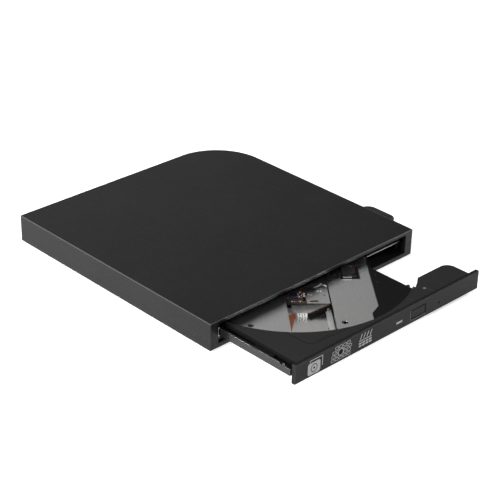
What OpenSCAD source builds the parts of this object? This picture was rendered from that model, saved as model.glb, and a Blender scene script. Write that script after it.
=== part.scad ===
// External slim optical drive: a two-shell case, a slim drive inside it with its tray part way out,
// and a captive USB lead stowed in a groove round the back and right sides.
// Inside each module: X from the case's left side, Y from its front face to the back, Z from its underside.

/* [Case] */
// Width of the case
case_w = 140; // [139:0.5:144]
// Depth of the case, front to back
case_d = 143; // [143:0.5:150]
// Height of the case without its feet
case_h = 14.2; // [14.2:0.1:16]
// Radius of the one big rounded corner, at the back right
corner_r = 29.2; // [20:0.2:29.2]
// Thickness of the top shell's side walls
wall = 1.5; // [1.2:0.1:1.6]
// Height where the two shells meet on the front pillars
seam_z = 7; // [5:0.5:9]
// How far the rubber feet stand out of the underside
foot_h = 0.8; // [0.5:0.1:2]
// Diameter of a rubber foot
foot_d = 8; // [6:0.5:10]

/* [Drive] */
// Width of the tray's front bezel
bezel_w = 128; // [126:0.5:128.6]
// Height of the bezel
bezel_h = 9.85; // [9:0.05:9.9]
// Thickness of the bezel
bezel_t = 2; // [1.5:0.1:2.1]
// How far the tray stands out of the case in the stored position
tray_out = 47.6; // [0:0.2:60]
// Thickness of the drive's sheet steel covers
sheet = 0.4; // [0.3:0.05:0.4]

/* [Tray] */
// Radius of the disc recess
recess_r = 61.2; // [60.5:0.1:61.5]
// Depth of the disc recess
recess_depth = 1.4; // [1.2:0.1:1.6]
// Radius of the hub that centres a disc
hub_r = 7.3; // [7:0.05:7.45]
// Direction of the pickup's travel, measured from straight ahead
sled_angle = 40; // [38:0.5:42]
// Distance from the hub to the lens when it is parked
lens_home = 23.5; // [23:0.5:25]

/* [Eject button] */
// Width of the button's window in the bezel
button_w = 10.5; // [8:0.5:12]
// Height of the button's window
button_h = 4.8; // [4:0.1:5.4]
// Gap between the button and its window
button_gap = 0.25; // [0.15:0.05:0.4]
// Diameter of the emergency eject pinhole
pinhole_d = 1.2; // [1:0.1:1.6]

/* [USB lead] */
// Diameter of the lead
lead_d = 3.6; // [3:0.1:3.6]
// Length of the plug's grip along the side of the case
grip_l = 20; // [18:0.5:22]
// How far the docked grip stands out of the side
grip_out = 14; // [10:0.5:16]
// Thickness of the grip
grip_t = 8; // [7:0.5:8]

/* [Hidden] */
$fn = 96;
tiny = 0.01;

// Case: openings, screws and feet
cavity_top = case_h - 1.7;
open_x0 = 4.9;
open_x1 = case_w - 4.9;
sill_z = 2.2;
plate_t = 1.5;
shell_gap = 0.1;
floor_inset = wall + shell_gap;
screw_r = 0.8;
screw_head_r = 1.4;
screw_points = [[3.25, 7], [case_w - 3.25, 7], [8.5, 133.5], [104, 133.5]];
foot_points = [[14, 14], [case_w - 14, 14], [14, case_d - 14], [case_w - 32, case_d - 14]];
foot_recess = 0.6;

// Groove for the lead, round the back and right sides
lead_z = 4.4;
groove_half = 2.05;
groove_depth = 4;
band_depth = 5;
band_z0 = plate_t + 0.2;
band_z1 = 7;
groove_y0 = 46;
groove_x0 = 24.6;

// Docked plug
plug_z = 4.6;
plug_y = 32.75;
plug_w = 12;
plug_h = 4.5;
plug_len = 12;
dock_gap = 0.3;
dock_x0 = case_w - wall - plug_len;

// The row's origin: the middle of the whole object's box, at the level its feet stand on
mid_x = (case_w + grip_out) / 2;
mid_y = (case_d - tray_out) / 2;

// Drive box, bezel and tray
drive_x0 = 5;
drive_x1 = case_w - 5.1;
drive_y0 = 2.4;
drive_y1 = 127;
drive_z0 = 2.45;
drive_z1 = 12.35;
step_x = 107.6;
step_z = 7.1;
bezel_x0 = (case_w - bezel_w) / 2 + 0.2;
bezel_z0 = drive_z0;
bezel_y0 = -tray_out;
tray_y0 = bezel_y0 + bezel_t;
tray_y1 = bezel_y0 + 118;
tray_x0 = 10.5;
tray_x1 = 100.8;
tray_z0 = 3.7;
ledge_z0 = 6.1;
tray_z1 = 10.6;
recess_z = tray_z1 - recess_depth;
wing_x1 = 131;
wing_y1 = bezel_y0 + 17.3;
wing_z0 = 7.7;
wing_r = 62.5;
tray_wall = 2.5;
skin_z = 8;
tray_screw_points = [[16, bezel_y0 + 8], [96, tray_y1 - 5], [16, tray_y1 - 5]];

// Disc centre and what stands on it
disc_x = 70;
disc_y = bezel_y0 + 66.4;
seat_z = 9.7;
plate_z = 8.5;
floor_z = 3.7;
window_u0 = -17;
window_u1 = 4.5;
shield_u0 = -38.8;
rod_z = 6.4;
rod_a = [11.5, 1.5];
rod_b = [-21, 1.25];
screw_u = -29;
run_gap = 0.04;
damper_points = [[12, -12], [-21.5, -12], [7, 62.2], [-12, 62.2]];
claw_r = 0.5;
claw_z = 10.6;
claw_out = 0.3;
shaft_r = 1.25;

// Button, pinhole and light in the bezel
button_x = 89.25;
button_z = 6.9;
pinhole_x = 104.6;
pinhole_z = 5.9;
light_x = 75.75;
light_z = 6.5;

// Rails: the fixed guides' length, and how long the part of a slide is that stays inside them
guide_y1 = 112;
rail_y0 = bezel_y0 + 3;
rail_y1 = bezel_y0 + 110;
rail_tail = 38;
right_rail_y0 = bezel_y0 + 18;

// Latch
latch_x = 104.4;
latch_y = bezel_y0 + 8;
post_y = 17.6;
plunger_y = latch_y + 6.3;

// Places what is drawn in case coordinates into the row's own frame
module place() {
    translate([-mid_x, -mid_y, foot_h]) children();
}

// A block given by its low and high corners
module block(low, high) {
    translate(low) cube(high - low);
}

// Stands children on the disc's centre, with +Y along the pickup's way out and +X to its left
module at_hub() {
    translate([disc_x, disc_y, 0]) rotate(180 - sled_angle) children();
}

// The case's plan, drawn in by a margin on every side
module case_plan(inset) {
    difference() {
        translate([inset, inset]) square([case_w - 2 * inset, case_d - 2 * inset]);
        translate([case_w - corner_r, case_d - corner_r]) difference() {
            square(corner_r + tiny);
            circle(r = corner_r - inset, $fn = 128);
        }
    }
}

// The stretch of the case's edge where the lead runs, from the plug round to the back left
module lead_side(start_y, start_x) {
    translate([case_w / 2, start_y]) square([case_w, case_d]);
    translate([start_x, case_d - 12]) square([case_w, case_d]);
}

module top_shell() {
    color([0.17, 0.17, 0.18]) place() difference() {
        union() {
            difference() {
                linear_extrude(case_h) case_plan(0);
                translate([0, 0, -1]) linear_extrude(cavity_top + 1) case_plan(wall);
                block([open_x0, -1, -1], [open_x1, wall + 1, cavity_top]);
                block([floor_inset - shell_gap, -1, -1], [case_w - wall, wall + 1, seam_z]);
            }
            // Thick band that carries the lead's groove
            translate([0, 0, band_z0]) linear_extrude(band_z1 - band_z0) intersection() {
                difference() {
                    case_plan(wall / 2);
                    case_plan(band_depth);
                }
                lead_side(groove_y0 - 2, groove_x0 - 3);
            }
            for (p = screw_points) {
                translate([p[0], p[1], plate_t + 0.1])
                    cylinder(r = p[1] < 20 ? 1.6 : 2.5, h = cavity_top - plate_t);
            }
        }
        translate([0, 0, lead_z - groove_half]) linear_extrude(2 * groove_half) intersection() {
            difference() {
                case_plan(-1);
                case_plan(groove_depth);
            }
            lead_side(groove_y0, groove_x0);
        }
        // Way through the band for the lead
        block([groove_x0, case_d - band_depth - 1, lead_z - groove_half],
              [groove_x0 + 8, case_d - 2, lead_z + groove_half]);
        // Slot for the docked plug
        block([case_w - wall - 1, plug_y - plug_w / 2 - dock_gap, plug_z - plug_h / 2 - dock_gap],
              [case_w + 1, plug_y + plug_w / 2 + dock_gap, plug_z + plug_h / 2 + dock_gap]);
        for (p = screw_points) {
            translate([p[0], p[1], 0]) cylinder(r = screw_r + 0.05, h = 9);
        }
    }
}

module bottom_shell() {
    pocket_y0 = plug_y - plug_w / 2 - dock_gap;
    pocket_y1 = plug_y + plug_w / 2 + dock_gap;
    color([0.14, 0.14, 0.15]) place() difference() {
        union() {
            linear_extrude(plate_t) difference() {
                case_plan(floor_inset);
                translate([0, -1]) square([case_w, floor_inset + 2]);
            }
            // Front sill and the lower halves of the pillars
            block([floor_inset, 0, 0], [case_w - floor_inset, floor_inset + 1, sill_z]);
            block([floor_inset, 0, 0], [open_x0, floor_inset + 1, seam_z - shell_gap]);
            block([open_x1, 0, 0], [case_w - floor_inset, floor_inset + 1, seam_z - shell_gap]);
            // Rim inside the left wall
            block([floor_inset, 12, 0], [floor_inset + 1, case_d - 12, seam_z - shell_gap]);
            // Ribs that the drive lies on
            for (y = [22, 62, 100, 122]) {
                block([12, y, 0], [96, y + 1.5, drive_z0 - 0.05]);
            }
            // Pocket for the docked plug, under the drive's raised side
            block([dock_x0 - 1.2, pocket_y0 - 1, 0], [drive_x1, pocket_y0, band_z1 - 0.1]);
            block([dock_x0 - 1.2, pocket_y1, 0], [drive_x1, pocket_y1 + 1, band_z1 - 0.1]);
            block([dock_x0 - 1.2, pocket_y0 - 1, 0], [dock_x0 - 0.2, pocket_y1 + 1, band_z1 - 0.1]);
            // Posts under the bridge board
            for (x = [36, 96]) {
                translate([x, 133, 0]) cylinder(r = 1.8, h = 3);
            }
        }
        for (p = foot_points) {
            translate([p[0], p[1], -1]) cylinder(d = foot_d + 0.3, h = foot_recess + 1);
        }
        for (p = screw_points) {
            translate([p[0], p[1], -1]) cylinder(r = screw_r + 0.1, h = 5);
            translate([p[0], p[1], -1]) cylinder(r = screw_head_r + 0.1, h = 1.9);
        }
        // Cooling slots
        for (i = [0 : 6]) {
            block([45 + i * 7, 42, -1], [46.6 + i * 7, 58, plate_t + 1]);
            block([45 + i * 7, 66, -1], [46.6 + i * 7, 82, plate_t + 1]);
        }
    }
}

module rubber_feet() {
    color([0.08, 0.08, 0.08]) place() for (p = foot_points) {
        translate([p[0], p[1], -foot_h]) cylinder(d = foot_d, h = foot_h + foot_recess);
    }
}

module case_screws() {
    color([0.55, 0.55, 0.57]) place() for (p = screw_points) {
        translate([p[0], p[1], 0.1]) difference() {
            union() {
                cylinder(r = screw_head_r, h = 0.8);
                cylinder(r = screw_r, h = 7.5);
            }
            for (a = [0, 90]) {
                rotate(a) translate([-0.9, -0.15, -1]) cube([1.8, 0.3, 1.4]);
            }
        }
    }
}

module bridge_board() {
    color([0.05, 0.3, 0.16]) place() difference() {
        block([31, 128.4, 3], [101, 137.4, 3.8]);
        for (x = [36, 96]) {
            translate([x, 133, 0]) cylinder(r = 0.8, h = 6);
        }
    }
}

module bridge_chips() {
    color([0.06, 0.06, 0.07]) place() {
        block([50, 130, 3.8], [57, 137, 4.8]);
        block([63, 131, 3.8], [67.5, 134.5, 4.6]);
        block([41, 131, 3.8], [44.5, 135.5, 4.8]);
        for (x = [70 : 2.5 : 80]) {
            block([x, 134, 3.8], [x + 1.2, 134.7, 4.3]);
        }
    }
}

module sata_socket() {
    color([0.1, 0.1, 0.1]) place() difference() {
        block([84, 127.3, 3.8], [93.8, 134, 8.2]);
        block([85, 127, 5.1], [92.8, 131, 6.6]);
    }
}

module cable_clamp() {
    end_x = lead_route[len(lead_route) - 1][0];
    color([0.07, 0.07, 0.07]) place() difference() {
        block([end_x - 2.8, 130.2, plate_t], [end_x + 2.8, 133.2, 7.2]);
        translate([end_x, 129, lead_z]) rotate([-90, 0, 0]) cylinder(r = lead_d / 2 + 0.05, h = 6);
    }
}

// The lead's way from the plug to the board, in plan
lead_route = [
    [143.6, 41.8], [143.6, 46], [142.4, 51], [140, 57], [138.5, 62], [138.1, 68], [138.1, 76],
    [138.1, 85], [138.1, 94], [138.1, 103], [138.1, 111], [137.6, 118], [135.8, 125], [132, 131.2],
    [127, 136], [120.6, 139.5], [113.6, 141], [105, 141.1], [96, 141.1], [87, 141.1], [78, 141.1],
    [69, 141.1], [60, 141.1], [51, 141.1], [42, 141.1], [34, 141.1], [30.5, 140.2], [27.9, 137.6],
    [27, 134.1], [27, 129.2]];

function lead_dir(i) = let (
    a = lead_route[max(i - 1, 0)],
    b = lead_route[min(i + 1, len(lead_route) - 1)],
    d = b - a) d / norm(d);

// Ring of points round the lead at one point of its route
function lead_ring(i, sides) = [for (k = [0 : sides - 1]) let (
    turn = 360 * (k + 0.5) / sides,
    side = [lead_dir(i)[1], -lead_dir(i)[0]] * cos(turn) * lead_d / 2)
    [lead_route[i][0] + side[0], lead_route[i][1] + side[1], lead_z + sin(turn) * lead_d / 2]];

module usb_cable() {
    sides = 8;
    n = len(lead_route);
    points = [for (i = [0 : n - 1]) each lead_ring(i, sides)];
    walls = [for (i = [0 : n - 2], k = [0 : sides - 1]) let (j = (k + 1) % sides)
        [i * sides + k, (i + 1) * sides + k, (i + 1) * sides + j, i * sides + j]];
    ends = [[for (k = [0 : sides - 1]) k], [for (k = [sides - 1 : -1 : 0]) (n - 1) * sides + k]];
    color([0.07, 0.07, 0.07]) place() polyhedron(points, concat(walls, ends), convexity = 8);
}

module usb_plug_grip() {
    soft = 2.2;
    x0 = case_w + 0.15;
    x1 = case_w + grip_out;
    y0 = plug_y - grip_l / 2;
    y1 = plug_y + grip_l / 2;
    bend = 6.4;
    half = grip_t / 2;
    color([0.12, 0.12, 0.12]) place() translate([0, 0, plug_z]) difference() {
        hull() {
            for (z = [soft - half, half - soft]) {
                translate([x1 - soft, y0 + soft, z]) sphere(r = soft, $fn = 32);
                translate([x1 - bend, y1 - bend, z]) rotate_extrude($fn = 48)
                    translate([bend - soft, 0]) circle(r = soft, $fn = 32);
                translate([x0 + soft, y1 - soft, z]) sphere(r = soft, $fn = 32);
            }
            block([x0, y0, 1 - half], [x0 + 1, y1 - 2, half - 1]);
        }
        translate([lead_route[0][0], y1 + tiny, lead_z - plug_z]) rotate([90, 0, 0])
            cylinder(r = lead_d / 2 + 0.3, h = 1);
    }
}

module usb_plug_shell() {
    x0 = case_w + 0.15 - plug_len;
    y0 = plug_y - plug_w / 2;
    z0 = plug_z - plug_h / 2;
    color([0.75, 0.75, 0.77]) place() difference() {
        block([x0, y0, z0], [case_w + 0.15, y0 + plug_w, z0 + plug_h]);
        block([x0 - 1, y0 + 0.3, z0 + 0.3],
              [case_w - 1, y0 + plug_w - 0.3, z0 + plug_h - 0.3]);
        for (dy = [2.2, 7.3], z = [z0 - 1, z0 + plug_h - 0.5]) {
            block([x0 + 4.4, y0 + dy, z], [x0 + 6.9, y0 + dy + 2.5, z + 1.5]);
        }
    }
}

module usb_plug_tongue() {
    x0 = case_w + 0.15 - plug_len;
    y0 = plug_y - plug_w / 2;
    z0 = plug_z - plug_h / 2;
    color([0.1, 0.35, 0.75]) place()
        block([x0 + 0.4, y0 + 0.45, z0 + 0.3], [case_w - 1, y0 + plug_w - 0.45, z0 + 2.1]);
}

// Plan of the drive's box, with its back right corner cut off to clear the case's round corner
module drive_plan(inset, x0) {
    cut = 4;
    polygon([[x0, drive_y0 + inset], [drive_x1 - inset, drive_y0 + inset],
             [drive_x1 - inset, drive_y1 - cut - inset], [drive_x1 - cut - inset, drive_y1 - inset],
             [x0, drive_y1 - inset]]);
}

module drive_bottom_cover() {
    color([0.62, 0.62, 0.6]) place() difference() {
        union() {
            block([drive_x0, drive_y0, drive_z0], [step_x, drive_y1, drive_z0 + sheet]);
            block([step_x, drive_y0 + 1.6, drive_z0], [step_x + sheet, drive_y1, step_z + sheet]);
            translate([0, 0, step_z]) linear_extrude(sheet) intersection() {
                drive_plan(0, step_x);
                translate([step_x, drive_y0 + 1.6]) square([60, 200]);
            }
            block([drive_x0, drive_y0, drive_z0], [drive_x0 + sheet, drive_y1, 5.4]);
            block([drive_x1 - sheet, drive_y0 + 1.6, step_z], [drive_x1, drive_y1 - 4, 9.8]);
            block([drive_x0, drive_y1 - sheet, drive_z0], [step_x, drive_y1, 9.8]);
            block([step_x, drive_y1 - sheet, step_z], [drive_x1 - 4, drive_y1, 9.8]);
        }
        // Opening in the back wall for the drive's plug
        block([83.5, drive_y1 - 1, 3.4], [94.3, drive_y1 + 1, 8.6]);
        for (p = [[20, 20], [20, 110], [95, 110]]) {
            translate([p[0], p[1], 0]) cylinder(r = 1.1, h = 5);
        }
    }
}

module drive_top_cover() {
    z0 = drive_z1 - sheet;
    color([0.66, 0.66, 0.64]) place() union() {
        translate([0, 0, z0]) linear_extrude(sheet) drive_plan(0.5, drive_x0 + 0.5);
        block([drive_x0, drive_y0 + 2, 10.3], [drive_x0 + sheet, drive_y1 - 4, z0]);
        block([drive_x0, drive_y0 + 2, z0], [drive_x0 + 0.5, drive_y1 - 4, drive_z1]);
        block([drive_x1 - 0.5, drive_y0 + 2, z0], [drive_x1, drive_y1 - 5, drive_z1]);
        block([drive_x1 - sheet, drive_y0 + 2, 9.9], [drive_x1, drive_y1 - 5, z0]);
        // Stiffening step under the middle, clear of the disc
        block([drive_x0 + 4, 116, z0 - 0.3], [drive_x1 - 20, 117.2, z0]);
    }
}

// Fixed C-shaped guide, open to +X, from its back plane; its slide's tongue runs inside
module guide_profile(height) {
    union() {
        square([sheet, height]);
        square([0.95, sheet]);
        translate([0, height - sheet]) square([0.95, sheet]);
    }
}

module left_guide_rail() {
    color([0.7, 0.7, 0.7]) place() translate([drive_x0, guide_y1, 5.6]) rotate([90, 0, 0])
        linear_extrude(guide_y1 - 0.3) guide_profile(4.6);
}

module right_guide_rail() {
    color([0.7, 0.7, 0.7]) place() translate([102.7, guide_y1, 3.2]) rotate([90, 0, 0])
        mirror([1, 0, 0]) linear_extrude(guide_y1 - 22) guide_profile(3.8);
}

module latch_post() {
    color([0.7, 0.7, 0.7]) place() translate([106.4, post_y, drive_z0 + sheet])
        cylinder(r = 0.8, h = 4);
}

module rear_board() {
    color([0.05, 0.3, 0.16]) place() block([40, 119.5, 4.2], [100, 126.4, 5]);
}

module drive_sata_plug() {
    color([0.12, 0.12, 0.12]) place() union() {
        block([84, 121, 5], [93.8, 127.1, 8.2]);
        block([85.2, 127.1, 5.3], [92.6, 130.8, 6.4]);
    }
}

module fixed_ribbon() {
    color([0.72, 0.42, 0.18]) place() union() {
        block([44, 30, drive_z0 + sheet], [62, 123, drive_z0 + sheet + 0.12]);
        block([44, 122.88, drive_z0 + sheet], [62, 123, 4.2]);
    }
}

module left_slide_rail() {
    x0 = 6.1;
    web = 0.5;
    z0 = 5.65;
    z1 = 9.6;
    nose_z = 9.1;
    tab_h = 0.7;
    tab_y = bezel_y0 + 7;
    color([0.66, 0.66, 0.67]) place() union() {
        // Flat web, with a small raised tab and a lowered nose behind the bezel
        translate([x0, 0, 0]) rotate([90, 0, 90]) linear_extrude(web)
            polygon([[rail_y0, z0], [rail_y1, z0], [rail_y1, z1], [tab_y + 3, z1],
                     [tab_y + 2.4, z1 - tab_h], [tab_y + 1.3, z1 - tab_h], [tab_y + 0.8, z1 + tab_h],
                     [tab_y, z1 + tab_h], [tab_y - 0.9, nose_z], [rail_y0, nose_z]]);
        block([x0, rail_y0, z0], [x0 + web + 1, rail_y1, z0 + sheet]);
        block([x0, tab_y + 4, z1 - sheet], [x0 + web + 0.4, rail_y1, z1]);
        block([drive_x0 + sheet + 0.15, rail_y1 - rail_tail, 6.25], [x0, rail_y1, 9.55]);
    }
}

module right_slide_rail() {
    x1 = 101.6;
    web = 0.5;
    z0 = 3.35;
    color([0.66, 0.66, 0.67]) place() union() {
        block([x1 - web, right_rail_y0, z0], [x1, rail_y1, 6.7]);
        block([x1 - web - 1, right_rail_y0, z0], [x1, rail_y1, z0 + sheet]);
        block([x1, rail_y1 - rail_tail, 3.85], [102.7 - sheet - 0.15, rail_y1, 6.35]);
    }
}

// Plan of the well under the shields where the pickup, its rods and its screw are
module well_plan(margin) {
    at_hub() {
        translate([-17.2 - margin, -16 - margin]) square([32.7 + 2 * margin, 80.5 + 2 * margin]);
        translate([-25 - margin, -16 - margin]) square([12 + margin, 75 + 2 * margin]);
        translate([-33 - margin, -8 - margin]) square([9 + margin, 61 + 2 * margin]);
    }
}

// The tray's plan without its wing
module tray_plan(inset) {
    translate([tray_x0 + inset, tray_y0 + inset])
        square([tray_x1 - tray_x0 - 2 * inset, tray_y1 - tray_y0 - 2 * inset]);
}

// The thin wing at the tray's front right
module wing_plan() {
    corner = 5;
    difference() {
        union() {
            translate([tray_x1 - 4, tray_y0]) square([wing_x1 - tray_x1 + 4, wing_y1 - tray_y0 - corner]);
            translate([tray_x1 - 4, tray_y0])
                square([wing_x1 - tray_x1 + 4 - corner, wing_y1 - tray_y0]);
            translate([wing_x1 - corner, wing_y1 - corner]) circle(r = corner);
        }
        translate([disc_x, disc_y]) circle(r = wing_r, $fn = 128);
    }
}

// Where the left shield lies in the recess
module left_shield_plan(gap) {
    intersection() {
        translate([disc_x, disc_y]) circle(r = recess_r - gap, $fn = 128);
        at_hub() translate([window_u1, -6 + gap]) square([60, 75 - gap]);
        translate([tray_x0 + 4 + gap, tray_y0]) square([100, 110]);
    }
}

// Where the middle shield lies in the recess
module middle_shield_plan(gap) {
    intersection() {
        translate([disc_x, disc_y]) circle(r = recess_r - gap, $fn = 128);
        at_hub() polygon([[window_u0, -13 + gap], [window_u0, 64], [-34.7, 64], [-34.9, 42.7],
                          [shield_u0 + gap, 36.2], [shield_u0 + gap, -13 + gap]]);
    }
}

// The cut in the middle shield where the feed motor shows
module motor_notch(gap) {
    at_hub() translate([-33.4 - gap, -3 - gap]) square([9.4 + 2 * gap, 13 + 2 * gap]);
}

module tray() {
    mould_line = 0.35;
    color([0.15, 0.15, 0.16]) place() difference() {
        union() {
            translate([0, 0, tray_z0]) linear_extrude(tray_z1 - tray_z0) tray_plan(0);
            translate([0, 0, wing_z0]) linear_extrude(tray_z1 - wing_z0) wing_plan();
            // Ledge that the left slide carries, and its two guide blocks
            block([6.95, tray_y0, ledge_z0], [tray_x0, tray_y1, ledge_z0 + 0.9]);
            for (y = [tray_y1 - 16, bezel_y0 + 16]) {
                block([6.9, y, ledge_z0], [tray_x0, y + 12, 8.9]);
            }
            // Pivot that the latch lever turns on
            translate([latch_x, latch_y, 4.4]) cylinder(r = 0.55, h = wing_z0 - 4.4 + tiny);
        }
        translate([disc_x, disc_y, recess_z]) cylinder(r = recess_r, h = 5, $fn = 128);
        translate([0, 0, plate_z]) linear_extrude(5) left_shield_plan(0);
        translate([0, 0, plate_z]) linear_extrude(5) middle_shield_plan(0);
        // Window over the pickup, its well below, and the hollow underside round the well's wall
        translate([0, 0, tray_z0 - 1]) linear_extrude(plate_z - tray_z0 + 1) well_plan(0);
        translate([0, 0, tray_z0]) linear_extrude(9) intersection() {
            translate([disc_x, disc_y]) circle(r = recess_r - 0.2, $fn = 128);
            at_hub() translate([window_u0, -16]) square([window_u1 - window_u0, 80]);
        }
        translate([disc_x, disc_y, 0]) cylinder(r = 15, h = 20);
        translate([0, 0, tray_z0 - 1]) linear_extrude(skin_z - tray_z0 + 1) difference() {
            tray_plan(tray_wall);
            well_plan(1.2);
            for (x = [30, 50, 88]) {
                translate([x, tray_y0]) square([1.2, 200]);
            }
            translate([0, disc_y + 25]) square([200, 1.2]);
            translate([0, bezel_y0 + 19]) square([200, 1.2]);
            for (p = tray_screw_points) {
                translate(p) circle(r = 2.4);
            }
        }
        translate([0, 0, recess_z - 1]) linear_extrude(3) motor_notch(0.3);
        // Room behind the bezel for the button, its switch and the light pipe
        block([72, tray_y0 - 1, tray_z0 - 1], [96, bezel_y0 + 5.2, 9.4]);
        block([72, tray_y0 - 1, tray_z0 - 1], [96, bezel_y0 + 10, 8.2]);
        // Pockets for the bezel's hooks
        for (x = [18, 44, 62]) {
            block([x - 2.2, tray_y0 - 1, 5.3], [x + 2.2, tray_y0 + 2.4, 7]);
        }
        // Space for the right slide, and for the solenoid's plunger
        block([tray_x1 - 1.2, right_rail_y0 - 1, tray_z0 - 1], [tray_x1 + 1, tray_y1 + 1, 4.3]);
        block([tray_x1 - 5, latch_y - 3.1, tray_z0 - 1], [tray_x1 + 1, plunger_y + 2, 7.4]);
        // Small holes in the recess floor
        for (p = [[96.6, bezel_y0 + 34.5], [92, bezel_y0 + 29], [24, 60], [84, 62]]) {
            translate([p[0], p[1], 5]) cylinder(r = 0.8, h = 6);
        }
        // Shallow moulding lines on the front rim
        translate([0, 0, tray_z1 - 0.25]) {
            block([26.5, bezel_y0 + 12.6, 0], [26.5 + mould_line, bezel_y0 + 25, 1]);
            block([29, bezel_y0 + 10, 0], [62, bezel_y0 + 10 + mould_line, 1]);
            translate([29 + mould_line, bezel_y0 + 12.5 + mould_line, 0])
                rotate(180) rotate_extrude(angle = 90)
                    translate([2.5, 0]) square([mould_line, 1]);
        }
        for (x = [15.5, 50, 90, 104, 113, 126]) {
            block([x, tray_y0 + 1.5, tray_z1 - 0.25], [x + 0.3, tray_y0 + 6, tray_z1 + 1]);
        }
        translate([103.5, bezel_y0 + 8.6, tray_z1 - 1]) cylinder(r = 0.8, h = 2);
        for (p = tray_screw_points) {
            translate([p[0], p[1], tray_z0 - 1]) cylinder(r = 0.85, h = 5);
        }
    }
}

module bezel() {
    color([0.15, 0.15, 0.16]) place() difference() {
        union() {
            block([bezel_x0, bezel_y0, bezel_z0], [bezel_x0 + bezel_w, tray_y0, bezel_z0 + bezel_h]);
            for (x = [18, 44, 62]) {
                block([x - 2, tray_y0 - tiny, 5.5], [x + 2, tray_y0 + 2, 6.8]);
            }
        }
        translate([button_x - button_w / 2, bezel_y0 - 1, button_z - button_h / 2])
            cube([button_w, bezel_t + 2, button_h]);
        translate([pinhole_x, bezel_y0 - 1, pinhole_z]) rotate([-90, 0, 0])
            cylinder(d = pinhole_d, h = bezel_t + 2);
        block([light_x - 2.2, bezel_y0 - 1, light_z - 0.6],
              [light_x + 2.2, tray_y0 + 1, light_z + 0.6]);
        // Bevel along the front of the top and left edges
        translate([bezel_x0 - 1, bezel_y0, bezel_z0 + bezel_h]) rotate([45, 0, 0])
            translate([0, -0.2, -0.2]) cube([bezel_w + 2, 0.4, 0.4]);
        translate([bezel_x0, bezel_y0, bezel_z0 - 1]) rotate(45)
            translate([-0.2, -0.2, 0]) cube([0.4, 0.4, bezel_h + 2]);
    }
}

module light_pipe() {
    color([0.9, 0.92, 0.95]) place() union() {
        block([light_x - 2.1, bezel_y0 + 0.1, light_z - 0.5],
              [light_x + 2.1, tray_y0 + 0.4, light_z + 0.5]);
        block([light_x - 1, tray_y0 + 0.4, light_z - 0.5], [light_x + 1, tray_y0 + 5, light_z + 0.5]);
    }
}

module tray_bottom_plate() {
    color([0.72, 0.72, 0.72]) place() difference() {
        block([11, tray_y0 + 0.3, floor_z - sheet], [99.2, tray_y1 - 0.3, floor_z]);
        for (p = tray_screw_points) {
            translate([p[0], p[1], 0]) cylinder(r = 0.9, h = 5);
        }
        at_hub() translate([-14.6, 47.2, 0]) cylinder(r = 0.75, h = 5);
    }
}

module left_shield() {
    color([0.74, 0.74, 0.75]) place() translate([0, 0, plate_z]) linear_extrude(sheet) difference() {
        left_shield_plan(0.15);
        translate([disc_x, disc_y]) circle(r = 15);
        translate([19.2, bezel_y0 + 41.3]) circle(r = 1.5);
    }
}

module middle_shield() {
    color([0.74, 0.74, 0.75]) place() translate([0, 0, plate_z]) linear_extrude(sheet) difference() {
        middle_shield_plan(0.15);
        translate([disc_x, disc_y]) circle(r = 15);
        motor_notch(0.3);
        at_hub() translate([-21, 50.4]) circle(r = 1.5);
    }
}

// A block with a hole across it that holds the end of a rod or screw lying along +Y
module rod_holder(u, v, r, width) {
    translate([u, v, 0]) difference() {
        block([-width / 2, 0, 4.7], [width / 2, 2.5, rod_z + r + 0.4]);
        translate([0, -1, rod_z]) rotate([-90, 0, 0]) cylinder(r = r + run_gap, h = 5);
    }
}

module traverse_frame() {
    color([0.2, 0.2, 0.21]) place() at_hub() union() {
        translate([0, 0, 3.9]) linear_extrude(0.8) difference() {
            union() {
                translate([-14, -15]) square([29, 79]);
                translate([-24.5, -15]) square([12, 73.5]);
                translate([-32.5, -7]) square([9, 59.5]);
            }
            translate([-18.2, 14]) square([27.2, 46.5]);
            translate([-14, 58]) square([23, 2.5]);
            circle(r = 6);
            translate([screw_u - 3, -3]) square([6, 10.2]);
        }
        rod_holder(rod_a[0], 10, rod_a[1], 5);
        rod_holder(rod_a[0], 61.2, rod_a[1], 5);
        rod_holder(rod_b[0], 6, rod_b[1], 4.4);
        rod_holder(rod_b[0], 56, rod_b[1], 4.4);
        rod_holder(screw_u, 50, 0.7, 3);
    }
}

module guide_rods() {
    color([0.8, 0.8, 0.82]) place() at_hub() {
        translate([rod_a[0], 10.2, rod_z]) rotate([-90, 0, 0]) cylinder(r = rod_a[1], h = 53.3);
        translate([rod_b[0], 6.2, rod_z]) rotate([-90, 0, 0]) cylinder(r = rod_b[1], h = 52);
    }
}

module feed_motor() {
    color([0.1, 0.1, 0.1]) place() at_hub() difference() {
        union() {
            translate([screw_u, -2, rod_z]) rotate([-90, 0, 0]) cylinder(r = 2.6, h = 9);
            block([screw_u - 3.4, 7, 4.7], [screw_u + 3.4, 8, 9]);
            block([screw_u - 3.2, -2.4, 7], [screw_u + 3.2, 4, 9.1]);
        }
        translate([screw_u, 3, rod_z]) rotate([-90, 0, 0]) cylinder(r = 0.7 + run_gap, h = 8);
    }
}

module spindle_motor() {
    color([0.6, 0.6, 0.6]) place() translate([disc_x, disc_y, 0]) difference() {
        union() {
            translate([0, 0, 4.7]) cylinder(r = 10.5, h = 0.6);
            translate([0, 0, floor_z]) cylinder(r = 5.5, h = 2);
            translate([0, 0, 4.7]) cylinder(r = 3, h = 2.4);
        }
        translate([0, 0, 3.9]) cylinder(r = shaft_r + run_gap, h = 6);
    }
}

module tray_board() {
    color([0.05, 0.3, 0.16]) place() block([52, disc_y + 30, 4.8], [86, tray_y1 - 4, 5.6]);
}

module tray_chips() {
    color([0.06, 0.06, 0.07]) place() {
        block([56, disc_y + 33, 5.6], [64, disc_y + 41, 6.8]);
        block([70, disc_y + 34, 5.6], [76, disc_y + 38, 6.6]);
        block([79, disc_y + 33, 5.6], [82, disc_y + 40, 6.6]);
    }
}

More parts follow.
